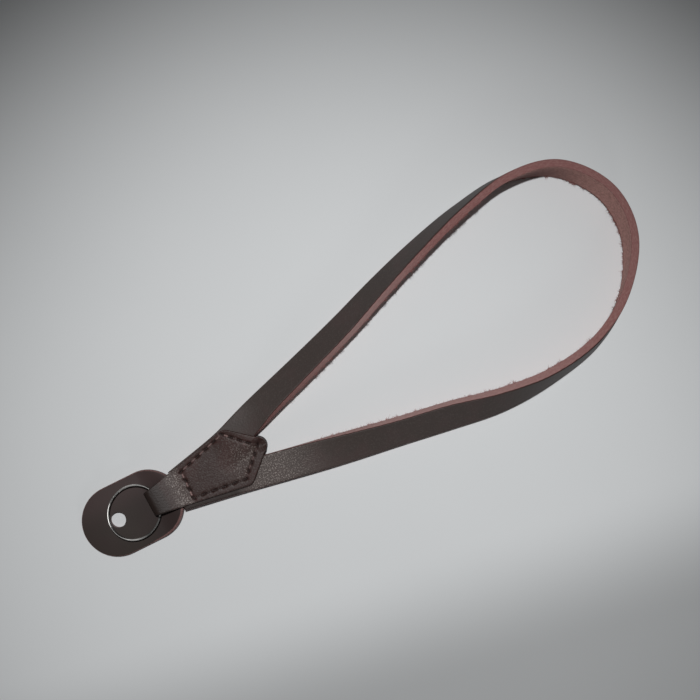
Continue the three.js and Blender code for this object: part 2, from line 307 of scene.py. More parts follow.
class Finish:
    """A material that is built up node by node."""

    def __init__(self, name, **fixed):
        self.material = bpy.data.materials.new(name)
        self.material.use_nodes = True
        self.tree = self.material.node_tree
        self.shader = self.tree.nodes["Principled BSDF"]
        self.surface(**fixed)

    def add(self, kind, settings, sockets, output=0):
        """Any node: its settings first, then the values or links of its sockets."""
        node = self.tree.nodes.new("ShaderNode" + kind)
        for setting, value in settings.items():
            setattr(node, setting, value)
        for socket, value in sockets.items():
            self.join(value, node.inputs[socket])
        return Value(self, node.outputs[output])

    def join(self, value, socket):
        """Links a value to a socket, or sets it there."""
        if isinstance(value, Value):
            self.tree.links.new(value.socket, socket)
        else:
            socket.default_value = value

    def surface(self, **sockets):
        """Gives the shader's sockets their values, fixed or worked out."""
        for socket, value in sockets.items():
            self.join(value, self.shader.inputs[socket.replace("_", " ")])

    def place(self, name):
        """The flat place stored on the piece under that name."""
        return self.add("Attribute", {"attribute_name": name}, {}, "Vector")

    def number(self, name):
        """The number stored on the piece under that name."""
        return self.add("Attribute", {"attribute_name": name}, {}, "Fac")

    def parts(self, vector):
        """The three numbers of a vector."""
        first = self.add("SeparateXYZ", {}, {0: vector})
        return [Value(self, output) for output in first.socket.node.outputs]

    def stretched(self, vector, factors):
        """A vector with each of its numbers multiplied by its own factor."""
        return self.add("VectorMath", {"operation": "MULTIPLY"}, {0: vector, 1: factors})

    def noise(self, vector, grain_size, detail=3, roughness=0.55):
        """Cloudy noise from nought to one, whose blots are about grain_size across."""
        sockets = {"Vector": vector, "Scale": 1 / grain_size, "Detail": detail}
        return self.add("TexNoise", {}, {**sockets, "Roughness": roughness}, "Fac")

    def cells(self, vector, cell_size):
        """Distance from the middle of the nearest cell, about nought to one."""
        return self.add("TexVoronoi", {}, {"Vector": vector, "Scale": 1 / cell_size}, "Distance")

    def mix(self, share, first, second):
        """One colour where share is nought, another where it is one."""
        sockets = {"Factor": share, 6: first, 7: second}
        return self.add("Mix", {"data_type": "RGBA"}, sockets, 2)

    def relief(self, height, depth, under=None):
        """A bump, depth metres high, over the one under it."""
        sockets = {"Height": height, "Distance": depth}
        if under is not None:
            sockets["Normal"] = under
        return self.add("Bump", {}, sockets)

    def wear(self, *pieces):
        """Puts the finish on these pieces."""
        for piece in pieces:
            piece.data.materials.clear()
            piece.data.materials.append(self.material)


GRAIN_SHADE = (0.021, 0.013, 0.011, 1)
GRAIN_DARK = (0.056, 0.043, 0.039, 1)
GRAIN_PALE = (0.074, 0.059, 0.054, 1)
GRAIN_RED = (0.064, 0.045, 0.042, 1)
GRAIN_HIGHLIGHT = (0.088, 0.067, 0.059, 1)
GRAIN_SHEEN = (0.310, 0.268, 0.248, 1)
EDGE_PINK = (0.240, 0.104, 0.098, 1)
EDGE_PALE = (0.310, 0.164, 0.152, 1)
EDGE_LINE = (0.060, 0.020, 0.018, 1)
SUEDE_PALE = (0.630, 0.350, 0.305, 1)
SUEDE_DARK = (0.420, 0.218, 0.195, 1)
SUEDE_SHADED = (0.130, 0.068, 0.064, 1)
EDGE_LIGHTENED = (0.520, 0.385, 0.365, 1)

CLOUD_SIZE = 9 * MM
SPECK_SIZE = 0.5 * MM
GLINT_SIZE = 0.45 * MM
PEBBLE_SIZE = 0.55 * MM
PEBBLE_HEIGHT = 0.035 * MM
CREASE_SIZE = 0.25 * MM
CREASE_HEIGHT = 0.02 * MM
UNPAINTED_LEVEL = 0.4             # the mask's level where the grain gets neither painted shade nor painted highlight
HIGHLIGHT_SHARE = 0.35


def grain_colour(finish, place, shade_and_sheen, dark=GRAIN_DARK, red=GRAIN_RED):
    """Dyed grain: dark brown with redder clouds. Below the unpainted level it gets painted shade, deep
    and smooth; above it a painted highlight, a paler bloom and pale glinting pebbles."""
    clouds = finish.noise(place, CLOUD_SIZE).rising(0.45, 0.65)
    base = finish.mix(clouds, dark, red)
    specks = finish.noise(place, SPECK_SIZE, detail=2, roughness=0.6).rising(0.48, 0.72)
    grain = finish.mix(specks, base, GRAIN_PALE)
    # Painted shade where the mask is below the unpainted level, painted highlight where it is above.
    grain = finish.mix(shade_and_sheen.rising(UNPAINTED_LEVEL, 0), grain, GRAIN_SHADE)
    grain = finish.mix(shade_and_sheen.rising(UNPAINTED_LEVEL, 0.9) * HIGHLIGHT_SHARE, grain, GRAIN_HIGHLIGHT)
    glint = finish.noise(place, GLINT_SIZE, detail=2, roughness=0.7).rising(0.53, 0.63)
    return finish.mix(glint * shade_and_sheen.rising(UNPAINTED_LEVEL, 1), grain, GRAIN_SHEEN)


def grain_relief(finish, place):
    """Pebbles about half a millimetre across, with fine creases."""
    pebbles = finish.cells(place, PEBBLE_SIZE)
    creases = finish.noise(place, CREASE_SIZE)
    coarse = finish.relief(pebbles * -1, PEBBLE_HEIGHT)
    return finish.relief(creases, CREASE_HEIGHT, coarse)


# Painted highlight lies on the grain where the lower leg leaves the tab, and painted shade darkens it
# where the strip runs into the tab. The cut edges are painted paler beside the tab: painted light on
# the upper leg, where the edge faces away from the lamp, and paler also along the lower leg near the
# tab. The corners of the grain are worn bare round the far end, and painted shade darkens the raw side
# along the upper leg. Each row of these tables is a place, in millimetres from the strip's start, its
# end or its middle, and how strong the mark is there.
BARE_FROM_START = [(135, 0), (150, 1), (226, 1), (238, 0)]
SHADE_FROM_START = [(60, 0), (90, 1), (158, 1), (180, 0)]
SHADE_ACROSS = [(-4.8, 0), (-2.5, 0.6), (1, 1)]
LIGHTEN_FROM_START = [(40, 0), (55, 0.15), (78, 0.4), (115, 0)]
LIGHTEN_FROM_END = [(60, 0.35), (90, 0.35), (150, 0)]
SHEEN_FROM_END = [(17, -0.26), (23, 0.52), (31, 0.52), (40, 0.286), (52, 0)]


def by_place(places, table):
    """What a table of places and strengths says of each place."""
    return np.interp(places, *np.transpose(table))


from_start = strap_flat[:, 0] / MM
from_end = STRAP_LENGTH / MM - from_start
# Painted shade and painted highlight on the grain along the strip.
note(strap, "shade_and_sheen", UNPAINTED_LEVEL + by_place(from_end, SHEEN_FROM_END))
note(strap, "bare", by_place(from_start, BARE_FROM_START))
shade_across = by_place(strap_flat[:, 1] / MM, SHADE_ACROSS)
note(strap, "raw_side_shade", by_place(from_start, SHADE_FROM_START) * shade_across)
lighten_from_end = by_place(from_end, LIGHTEN_FROM_END)
note(strap, "edge_lightening", by_place(from_start, LIGHTEN_FROM_START) + lighten_from_end)

# Where each colour of the strip lies, measured from its middle: the dye with a dark line under it
# at the top of the cut edges, the corners that are rubbed bare, and the suede between its corners.
DYED_ABOVE = (1.16 * MM, 1.24 * MM)
LINE_ABOVE = (0.90 * MM, 1.05 * MM)
BARE_BEYOND = (4.5 * MM, 4.7 * MM)
SUEDE_BELOW = (-1.2 * MM, -1.32 * MM)
SUEDE_WITHIN = (4.9 * MM, 4.5 * MM)
EDGE_WAVER = 0.35 * MM      # the dye's edge wanders by up to half of this
EDGE_RELIEF = 0.18 * MM
RAW_ROUGHNESS = 0.85
DYED_SHINE = 0.3            # the dyed grain is this much less rough
SHADE_SHARE = 0.85

strip_finish = Finish("strip_hide", Specular_IOR_Level=0.3)
hide = strip_finish.place("hide")
along, across, depth = strip_finish.parts(hide)
waver = strip_finish.noise(strip_finish.stretched(hide, (1, 0.3, 0.3)), 1.6 * MM)
fibre_run = strip_finish.stretched(hide, (0.35, 1, 1.6))
fibres = strip_finish.noise(fibre_run, 0.45 * MM, detail=4, roughness=0.65)
cut_depth = depth + (waver - 0.5) * EDGE_WAVER
from_middle = across.size()
kept = 1 - strip_finish.number("bare") * from_middle.rising(*BARE_BEYOND)
dyed = cut_depth.rising(*DYED_ABOVE) * kept
line = cut_depth.rising(*LINE_ABOVE) * kept
raw = depth.rising(*SUEDE_BELOW) * from_middle.rising(*SUEDE_WITHIN)
edge_colour = strip_finish.mix(fibres.rising(0.4, 0.65), EDGE_PINK, EDGE_PALE)
# Painted light: the cut edges are paler beside the tab, on the upper leg where they face away from the
# lamp, and along the lower leg.
edge_colour = strip_finish.mix(strip_finish.number("edge_lightening"), edge_colour, EDGE_LIGHTENED)
nap = strip_finish.noise(hide, 0.8 * MM, detail=5, roughness=0.75)
suede = strip_finish.mix(nap.rising(0.36, 0.64), SUEDE_DARK, SUEDE_PALE)
# Painted shade on the raw side along the upper leg, where it faces away from the lamp.
suede = strip_finish.mix(strip_finish.number("raw_side_shade") * SHADE_SHARE, suede, SUEDE_SHADED)
hide_colour = strip_finish.mix(raw, edge_colour, suede)
hide_colour = strip_finish.mix(line, hide_colour, EDGE_LINE)
strip_shade_and_sheen = strip_finish.number("shade_and_sheen")
hide_colour = strip_finish.mix(dyed, hide_colour, grain_colour(strip_finish, hide, strip_shade_and_sheen))
pebbled = grain_relief(strip_finish, hide)
rough_relief = strip_finish.relief(fibres * (1 - dyed), EDGE_RELIEF, pebbled)
hide_roughness = RAW_ROUGHNESS - dyed * DYED_SHINE
strip_finish.surface(Base_Color=hide_colour, Roughness=hide_roughness, Normal=rough_relief)
strip_finish.wear(strap)

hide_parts("strap")
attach(strap, "root")

# ---- The fluff on the raw side ------------------------------------------------------------------
# Loose fibres of the split hide. They stick out along the corners of the raw side in a short fuzz,
# and here and there in longer tufts.

# Lengths are in millimetres, along the strip from its start or across it from its middle.
FAR_ROUND = (140, 238)      # between these the edge that is turned up has been rubbed clean
FIBRE_SIDES = 3
FIBRE_JOINTS = 4
FIBRE_THICK = (0.07, 0.15)
FIBRE_CURL = 0.6
FIBRE_ROOT = 4.95           # fibres grow from the raw side's corners, or up to this less far out
FIBRE_ROOT_SPREAD = 0.3
FIBRE_DEPTH = -1.3
FIBRE_LIE = 0.2             # below this height a fibre bends over to lie on the table
FUZZ_COUNT = 2600
FUZZ_SHORT = (0.15, 0.5)
FUZZ_SHORT_SHARE = 0.88
FUZZ_LONG = (0.5, 1)
FUZZ_INNER_SHARE = 0.8      # this share grows along the edge that is turned up
FUZZ_CLEAR = 46             # none is nearer the strip's ends than this
TUFT_COUNT = 70
TUFT_FIBRES = 16
TUFT_LENGTH = (0.4, 1.1)
TUFT_SPREAD = 0.4
TUFT_INNER_SHARE = 0.85
TUFT_CLEAR = 50

bpy.ops.object.select_all(action="DESELECT")
bpy.ops.mesh.primitive_cone_add(
    vertices=FIBRE_SIDES,
    radius1=0.5,
    radius2=0.08,
    depth=1,
    location=(0, 0, 0.5),
)
fibre = bpy.context.object
bpy.ops.object.transform_apply(location=True, rotation=True, scale=True)
bpy.ops.object.mode_set(mode="EDIT")
slice_across(fibre, 2, [joint / FIBRE_JOINTS for joint in range(1, FIBRE_JOINTS)])
bpy.ops.object.mode_set(mode="OBJECT")
fibre_shape = read_points(fibre)
fibre_faces = [list(face.vertices) for face in fibre.data.polygons]
bpy.data.objects.remove(fibre)

chance = random.Random(7)
roots = []
for place in range(FUZZ_COUNT):
    length = chance.uniform(*(FUZZ_SHORT if chance.random() < FUZZ_SHORT_SHARE else FUZZ_LONG))
    start = chance.uniform(FUZZ_CLEAR, STRAP_LENGTH / MM - FUZZ_CLEAR)
    roots.append((start, chance.random() < FUZZ_INNER_SHARE, length))
for tuft in range(TUFT_COUNT):
    tuft_along = chance.uniform(TUFT_CLEAR, STRAP_LENGTH / MM - TUFT_CLEAR)
    on_inner_edge = chance.random() < TUFT_INNER_SHARE
    for place in range(TUFT_FIBRES):
        start = tuft_along + chance.gauss(0, TUFT_SPREAD)
        roots.append((start, on_inner_edge, chance.uniform(*TUFT_LENGTH)))

fluff_points = []
fluff_faces = []
for start, on_inner_edge, length in roots:
    side = -1 if on_inner_edge and not FAR_ROUND[0] < start < FAR_ROUND[1] else 1
    from_corner = FIBRE_ROOT_SPREAD * chance.random() ** 2
    root = np.array([start, side * (FIBRE_ROOT - from_corner), FIBRE_DEPTH])
    aim = np.array([chance.gauss(0, 0.6), side * chance.uniform(0.1, 1), -chance.uniform(0.1, 1)])
    aim /= np.linalg.norm(aim)
    curl = np.array([chance.gauss(0, 0.5), chance.gauss(0, 0.5), chance.gauss(0, 0.5)])
    thickness = chance.uniform(*FIBRE_THICK)
    aside = np.cross(aim, (1, 0, 0)) / np.linalg.norm(np.cross(aim, (1, 0, 0)))
    over = np.cross(aim, aside)
    share = fibre_shape[:, 2:3]
    shaped = root + length * (share * aim + share**2 * curl * FIBRE_CURL)
    shaped += thickness * (fibre_shape[:, 0:1] * aside + fibre_shape[:, 1:2] * over)
    fluff_faces += [[corner + len(fluff_points) for corner in face] for face in fibre_faces]
    fluff_points += list(shaped * MM)
fluff_mesh = bpy.data.meshes.new("raw_side_fluff")
fluff_mesh.from_pydata(fluff_points, [], fluff_faces)
fluff = bpy.data.objects.new("raw_side_fluff", fluff_mesh)
bpy.context.scene.collection.objects.link(fluff)
bend_along(fluff, strap_rail)


def write_points(piece, points):
    """Puts a piece's points at these rows of x, y and z."""
    piece.data.vertices.foreach_set("co", points.astype(np.float32).ravel())
    piece.data.update()


# Fibres that would reach below the table lie down on it.
fluff_places = read_points(fluff)
low = fluff_places[:, 2] < FIBRE_LIE * MM
fluff_places[low, 2] = FIBRE_LIE * MM * np.exp(fluff_places[low, 2] / (FIBRE_LIE * MM) - 1)
write_points(fluff, fluff_places)

FLUFF_PINK = (0.30, 0.125, 0.115, 1)

fluff_finish = Finish("loose_fibres", Base_Color=FLUFF_PINK, Roughness=0.9)
fluff_finish.wear(fluff)
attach(fluff, "root")

# ---- The folded tab ----------------------------------------------------------------------------
# One piece of thinner leather cut as two pentagons joined by a neck. The neck is folded round the
# ring and pushed down through the pad, and the pentagons close over the strip's two ends.

# All in millimetres in the maker's frame.
TAB_THICK = 1.2
TAB_BASE_X = 13.8
TAB_BASE_HALF = 6.45
TAB_SHOULDER_X = 34.3
TAB_SHOULDER_HALF = 10.45
TAB_SHOULDER_ROUND = 1.6
TAB_TIP_X = 46.1
TAB_TIP_ROUND = 3.1
CLIMB_FROM = 27             # the upper layer starts to climb here, and has climbed here
CLIMB_TO = 40
CLIMB_UPPER = 1.5           # how far it climbs over each leg, and where across it the climb is
CLIMB_LOWER = 0.2
CLIMB_ACROSS = (-2.5, 3)
DIP_FROM = 38.5             # from here to the tip the seam draws it down between the legs
DIP_DEPTH = 2.0
DIP_ACROSS = (0.4, 2.8)
NECK_HALF = 4.2
UPPER_Z = 5.1
LOWER_Z = 0.6
FOLD_X = 3.35
FOLD_Z = 5.05
FOLD_RADIUS = 1.66
DROP_FROM = 4.6
DROP_TO = 8.4

tip_slope = math.atan2(TAB_SHOULDER_HALF, TAB_TIP_X - TAB_SHOULDER_X)
TIP_ARC_X = TAB_TIP_X - TAB_TIP_ROUND / math.sin(tip_slope)
TIP_END_X = TIP_ARC_X + TAB_TIP_ROUND
TIP_TANGENT_X = TIP_ARC_X + TAB_TIP_ROUND * math.sin(tip_slope)


def eased(value, low, high):
    """Nought below low, one above high, smooth between."""
    share = np.clip((np.asarray(value, float) - low) / (high - low), 0, 1)
    return share * share * (3 - 2 * share)


def tab_half_width(x):
    """Half the tab's width at x along it, in millimetres, from the neck to the rounded tip."""
    x = np.asarray(x, float)
    neck_slope = (TAB_BASE_HALF - NECK_HALF) / (TAB_BASE_X - FOLD_X + FOLD_RADIUS)
    neck = TAB_BASE_HALF + neck_slope * (x - TAB_BASE_X)
    side_slope = (TAB_SHOULDER_HALF - TAB_BASE_HALF) / (TAB_SHOULDER_X - TAB_BASE_X)
    side = TAB_BASE_HALF + side_slope * (x - TAB_BASE_X)
    slant = TAB_SHOULDER_HALF * (TAB_TIP_X - x) / (TAB_TIP_X - TAB_SHOULDER_X)
    blend = np.maximum(TAB_SHOULDER_ROUND - np.abs(side - slant), 0) / TAB_SHOULDER_ROUND
    body = np.minimum(side, slant) - blend**2 * TAB_SHOULDER_ROUND / 4
    tip = np.sqrt(np.maximum(TAB_TIP_ROUND**2 - (x - TIP_ARC_X) ** 2, 0.04))
    body = np.where(x > TIP_TANGENT_X, np.minimum(body, tip), body)
    return np.where(x < TAB_BASE_X, neck, body)


def upper_rise(x, y):
    """How far above flat the upper layer lies: it climbs over the edge of the strip's turned-up
    leg, and between the two legs the seam draws it down."""
    height = CLIMB_LOWER + (CLIMB_UPPER - CLIMB_LOWER) * eased(y, *CLIMB_ACROSS)
    dip = DIP_DEPTH * eased(x, DIP_FROM, TIP_END_X) * (1 - eased(np.abs(y), *DIP_ACROSS))
    return height * eased(x, CLIMB_FROM, CLIMB_TO) - dip


def tab_side_line():
    """The tab seen from the side, from the upper tip round the fold to the lower tip."""
    upper_x = np.arange(TIP_END_X, TAB_BASE_X, -0.4)
    upper_z = np.full(len(upper_x), UPPER_Z)
    neck_x = np.arange(TAB_BASE_X, FOLD_X, -0.4)
    neck_top = FOLD_Z + FOLD_RADIUS
    neck_z = neck_top + (UPPER_Z - neck_top) * eased(neck_x, FOLD_X, TAB_BASE_X)
    turn = np.radians(np.arange(90, 271, 7.5))
    drop_x = np.arange(DROP_FROM, DROP_TO, 0.3)
    fold_bottom = FOLD_Z - FOLD_RADIUS
    drop_z = fold_bottom + (LOWER_Z - fold_bottom) * eased(drop_x, DROP_FROM, DROP_TO)
    lower_x = np.append(np.arange(DROP_TO, TIP_END_X, 0.5), TIP_END_X)
    xs = [upper_x, neck_x, FOLD_X + FOLD_RADIUS * np.cos(turn), drop_x, lower_x]
    zs = [upper_z, neck_z, FOLD_Z + FOLD_RADIUS * np.sin(turn), drop_z, np.full(len(lower_x), LOWER_Z)]
    return np.column_stack([np.concatenate(xs), np.zeros(sum(map(len, xs))), np.concatenate(zs)])


tab_line = tab_side_line()
tab_run = np.concatenate([[0], np.cumsum(np.linalg.norm(np.diff(tab_line, axis=0), axis=1))])
TAB_LENGTH = tab_run[-1]
fold_start = int(np.argmin(tab_line[:, 0]))
tab_rail = rail("tab_rail", tab_line * MM + np.array(tab_origin), np.zeros(len(tab_line)), "MINIMUM")
tab_rail.data.splines[0].use_smooth = True


def run_at(x):
    """How far along the tab's leather a place x on its upper layer is."""
    return np.interp(-np.asarray(x, float), -tab_line[:fold_start, 0], tab_run[:fold_start])


def on_leather(place):
    """Where a place on the upper layer lies on the flat leather, which runs the other way from the
    tip and so has its own Y turned round."""
    return np.array([run_at(place[0]), -place[1]])


def tab_reach(run):
    """Half the leather's width at a distance along it, in millimetres."""
    x = np.interp(run, tab_run, tab_line[:, 0])
    lower = run > tab_run[fold_start]
    return np.where(lower & (x < 10), NECK_HALF, tab_half_width(x))


# The seam: its corners in the maker's frame, how far each hole is turned from the seam, and how
# strongly the thread's crest is painted with a highlight, and how proud it stands, in each of the
# stitches that lead to the next corner.
SEAM = [
    ((15.6, 4.6), 0, (0.55, 0.5, 0.5, 0.55, 0.5)),
    ((33.2, 9.0), 0, (0.75, 0.15, 0.1, 0.15)),
    ((41.75, 0.15), 12, (0.2, 0.35, 0.35, 0.15)),
    ((33.0, -7.7), 8, (0.05, 0, 0, 0, 0.05)),
    ((15.0, -4.9), 26, (1.0, 0.7, 0.75)),
]
HOLE_LENGTH = 2.0
HOLE_WIDTH = 0.9
HOLE_DEPTH = 0.6
GROOVE_WIDTH = 0.8
GROOVE_DEPTH = 0.12
ROUND_TOP = 0.45            # the cut edges are rubbed this round on the grain side
ROUND_UNDER = 0.2           # and at most this far on the raw side
SLOPE_STEP = 0.1

holes = []
for side, (corner, turn, crest_glints) in enumerate(SEAM):
    start = np.array(corner)
    end = np.array(SEAM[(side + 1) % len(SEAM)][0])
    for step, pale in enumerate(crest_glints):
        middle = start + (end - start) * step / len(crest_glints)
        span = end - start
        angle = math.atan2(span[1], span[0]) + math.radians(turn)
        holes.append((middle, angle, pale))

bpy.ops.object.select_all(action="DESELECT")
bpy.ops.mesh.primitive_grid_add(x_subdivisions=320, y_subdivisions=96, size=2)
tab = bpy.context.object
tab.name = "ring_tab_leather"

# The sheet's columns stand close together at the two tips, and closer over the upper layer than
# over the lower. Each row is a share of the columns, and how far along the leather that share is.
TAB_COLUMNS = [
    (0, 0),
    (0.012, 0.03),
    (0.024, 0.12),
    (0.04, 0.45),
    (0.065, 1.6),
    (0.75, 50),
    (0.94, TAB_LENGTH - 1.6),
    (0.98, TAB_LENGTH - 0.12),
    (1, TAB_LENGTH),
]
ROW_CROWDING = 1.25         # above one, the rows stand closer together towards the cut edges

flat = read_points(tab)
run = by_place((flat[:, 0] + 1) / 2, TAB_COLUMNS)
rows = np.sign(flat[:, 1]) * (1 - (1 - np.abs(flat[:, 1])) ** ROW_CROWDING)
flat[:, 0] = run
flat[:, 1] = rows * tab_reach(run)
write_points(tab, flat * MM)
tab_wall = tab.modifiers.new("wall", "SOLIDIFY")
tab_wall.thickness = TAB_THICK * MM
tab_wall.offset = 0
use_only(tab)
bpy.ops.object.modifier_apply(modifier=tab_wall.name)
note_places(tab, "hide", read_points(tab))

# The cut edges are rubbed round, the seam lies in a shallow groove, and each hole is a dimple.
flat = read_points(tab) / MM
reach = tab_reach(flat[:, 0])
slope = tab_reach(flat[:, 0] + SLOPE_STEP) - tab_reach(flat[:, 0] - SLOPE_STEP)
slope /= 2 * SLOPE_STEP
inset = np.maximum(reach - np.abs(flat[:, 1]), 0) / np.sqrt(1 + slope**2)
inset = np.minimum(inset, np.minimum(flat[:, 0], TAB_LENGTH - flat[:, 0]) + 0.02)
grain_side = flat[:, 2] > 0
short_of_round = np.clip(ROUND_TOP - inset, 0, ROUND_TOP)
sink = ROUND_TOP - np.sqrt(ROUND_TOP**2 - short_of_round**2)
hole_share = np.zeros(len(flat))
groove = np.zeros(len(flat))
for place, (middle, angle, pale) in enumerate(holes):
    next_middle = holes[(place + 1) % len(holes)][0]
    start = on_leather(middle)
    end = on_leather(next_middle)
    aside = flat[:, :2] - start
    turned = np.array([-math.cos(angle), -math.sin(angle)])
    lengthwise = aside @ turned / (HOLE_LENGTH / 2)
    crosswise = (aside[:, 0] * turned[1] - aside[:, 1] * turned[0]) / (HOLE_WIDTH / 2)
    hole_share = np.maximum(hole_share, np.exp(-(lengthwise**4) - crosswise**2 * 1.3))
    span = end - start
    along_seam = np.clip(aside @ span / (span @ span), 0, 1)
    off_seam = np.linalg.norm(aside - along_seam[:, None] * span, axis=1)
    groove = np.maximum(groove, np.exp(-((off_seam / GROOVE_WIDTH) ** 2)))
sink = sink + np.where(grain_side, groove * GROOVE_DEPTH + hole_share * HOLE_DEPTH, 0)
note(tab, "hole", hole_share * grain_side)
flat[:, 2] -= np.where(grain_side, sink, -np.minimum(sink, ROUND_UNDER))
upper = flat[:, 0] < tab_run[fold_start]
tab_x = np.interp(flat[:, 0], tab_run, tab_line[:, 0])
tab_y = -flat[:, 1]
flat[:, 2] += np.where(upper, upper_rise(tab_x, tab_y), 0)

# Painted highlight lies on the neck and, inside the seam, on the half by the tip, more so on its lower
# side. Painted shade darkens the fold, and the rest gets neither.
SHADE_AND_SHEEN_ALONG_NECK = [(3.4, 0), (6.6, 0.12), (9, 0.5), (10.4, 0.85), (14, 0.9), (15.5, UNPAINTED_LEVEL)]
SHEEN_TO_TIP = [(23, 0), (35, 0.34)]
SHEEN_ACROSS = [(-1, 1), (6, 0.5)]
SHEEN_INSIDE_SEAM = [(2, 0), (3.4, 1)]

tip_sheen = by_place(tab_x, SHEEN_TO_TIP) * by_place(tab_y, SHEEN_ACROSS)
note(tab, "shade_and_sheen", by_place(tab_x, SHADE_AND_SHEEN_ALONG_NECK) + tip_sheen * by_place(inset, SHEEN_INSIDE_SEAM))
write_points(tab, flat * MM)
bend_along(tab, tab_rail)
bpy.ops.object.shade_smooth_by_angle(angle=math.radians(60))

TAB_DARK = (0.038, 0.0195, 0.017, 1)
TAB_RED = (0.048, 0.0215, 0.019, 1)
TAB_CUT = (0.032, 0.022, 0.020, 1)
HOLE_SHADE = (0.020, 0.011, 0.010, 1)

tab_finish = Finish("tab_hide", Roughness=0.5, Specular_IOR_Level=0.3)
tab_hide = tab_finish.place("hide")
tab_depth = tab_finish.parts(tab_hide)[2]
hole = tab_finish.number("hole")
tab_grain = grain_colour(tab_finish, tab_hide, tab_finish.number("shade_and_sheen"), TAB_DARK, TAB_RED)
burnished = tab_depth.rising(0.35 * MM, 0.2 * MM)
tab_colour = tab_finish.mix(burnished, tab_grain, TAB_CUT)
# Painted shade in the stitch holes.
tab_colour = tab_finish.mix(hole.rising(0.25, 0.8), tab_colour, HOLE_SHADE)
tab_finish.surface(Base_Color=tab_colour, Normal=grain_relief(tab_finish, tab_hide))
tab_finish.wear(tab)
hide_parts("ring_tab")
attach(tab, "root")

# ---- The sewing --------------------------------------------------------------------------------
# Thick waxed thread, sewn by hand round the pentagon. It stands up between its holes and dives
# into them, and its end is melted to a bead beside the tip.

# All in millimetres.
THREAD_RADIUS = 0.3
THREAD_STEPS = 16
THREAD_PINCH = 0.6          # how thin the thread is drawn in its holes
THREAD_DIVE = (0.08, 0.36)  # the shares of a stitch at each end over which it dives
THREAD_SUNK = 0.6           # how far its middle lies below the leather's top in the holes
THREAD_CREST = -0.2         # how high above it between them, where the crest has no painted highlight
THREAD_PROUD = 0.3          # and how much higher where it has one
BEAD_RADIUS = 0.5
BEAD_PLACE = (38.2, 2.6)
BEAD_GLINT = 0.4

bpy.ops.object.select_all(action="DESELECT")
bpy.ops.mesh.primitive_cylinder_add(
    vertices=12,
    radius=THREAD_RADIUS * MM,
    depth=1,
    location=(0.5, 0, 0),
    rotation=(0, math.pi / 2, 0),
)
stitch = bpy.context.object
stitch.name = "stitch"
bpy.ops.object.transform_apply(location=True, rotation=True, scale=True)
bpy.ops.object.mode_set(mode="EDIT")
slice_across(stitch, 0, [step / THREAD_STEPS for step in range(1, THREAD_STEPS)])
bpy.ops.object.mode_set(mode="OBJECT")
stitch_shape = read_points(stitch)

stitches = []
for place, (middle, angle, pale) in enumerate(holes):
    next_middle = holes[(place + 1) % len(holes)][0]
    copy = bpy.data.objects.new(f"stitch_{place}", stitch.data.copy())
    bpy.context.scene.collection.objects.link(copy)
    start = on_leather(middle)
    end = on_leather(next_middle)
    span = end - start
    length = np.linalg.norm(span)
    ahead = span / length
    share = stitch_shape[:, 0]
    arch = eased(share, *THREAD_DIVE) * eased(1 - share, *THREAD_DIVE)
    thin = THREAD_PINCH + (1 - THREAD_PINCH) * arch
    side = stitch_shape[:, 1] / MM * thin
    up = stitch_shape[:, 2] / MM * thin
    shaped = np.empty_like(stitch_shape)
    shaped[:, 0] = start[0] + ahead[0] * share * length - ahead[1] * side
    shaped[:, 1] = start[1] + ahead[1] * share * length + ahead[0] * side
    crest = THREAD_CREST + THREAD_PROUD * pale
    shaped[:, 2] = TAB_THICK / 2 + up - THREAD_SUNK + (crest + THREAD_SUNK) * arch
    shaped[:, 2] += upper_rise(np.interp(shaped[:, 0], tab_run, tab_line[:, 0]), -shaped[:, 1])
    write_points(copy, shaped * MM)
    note(copy, "glint", pale * arch**2)
    lay = [share * length, stitch_shape[:, 1] / MM, stitch_shape[:, 2] / MM]
    note_places(copy, "strand", np.column_stack(lay))
    stitches.append(copy)
bpy.data.objects.remove(stitch)

bead_run, bead_across = on_leather(BEAD_PLACE) * MM
bpy.ops.mesh.primitive_uv_sphere_add(
    segments=16,
    ring_count=10,
    radius=BEAD_RADIUS * MM,
    location=(bead_run, bead_across, (TAB_THICK / 2 + upper_rise(*BEAD_PLACE)) * MM),
    scale=(1, 0.8, 0.6),
)
bead = bpy.context.object
bpy.ops.object.transform_apply(location=True, rotation=True, scale=True)
note(bead, "glint", np.full(len(bead.data.vertices), BEAD_GLINT))
bpy.ops.object.select_all(action="DESELECT")
for piece in [*stitches, bead]:
    piece.select_set(True)
bpy.context.view_layer.objects.active = stitches[0]
bpy.ops.object.join()
thread = bpy.context.object
thread.name = "seam_thread"
bend_along(thread, tab_rail)
bpy.ops.object.shade_smooth_by_angle(angle=math.radians(60))

THREAD_WAXED = (0.030, 0.016, 0.014, 1)
THREAD_GLINT = (0.30, 0.19, 0.178, 1)
PLY_RELIEF = 0.05 * MM
PLY_ALONG = 9               # how fast the plies wind, along the thread and round it
PLY_ROUND = 8

thread_finish = Finish("waxed_thread", Roughness=0.55)
glint = thread_finish.number("glint")
strand = thread_finish.place("strand")
lay_along, lay_side, lay_up = thread_finish.parts(strand)
winding = lay_along * PLY_ALONG + lay_side * PLY_ROUND
ply = thread_finish.add("Math", {"operation": "SINE"}, {0: winding})
# Painted highlight: the thread's crests and the bead are paler, while in its holes the thread keeps
# its dark waxed colour.
thread_colour = thread_finish.mix(glint, THREAD_WAXED, THREAD_GLINT)
thread_finish.surface(Base_Color=thread_colour, Normal=thread_finish.relief(ply, PLY_RELIEF))
thread_finish.wear(thread)
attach(thread, "root")

# ---- The split ring ----------------------------------------------------------------------------
# A thin round steel wire wound twice round, polished, with a step from one coil up to the next.

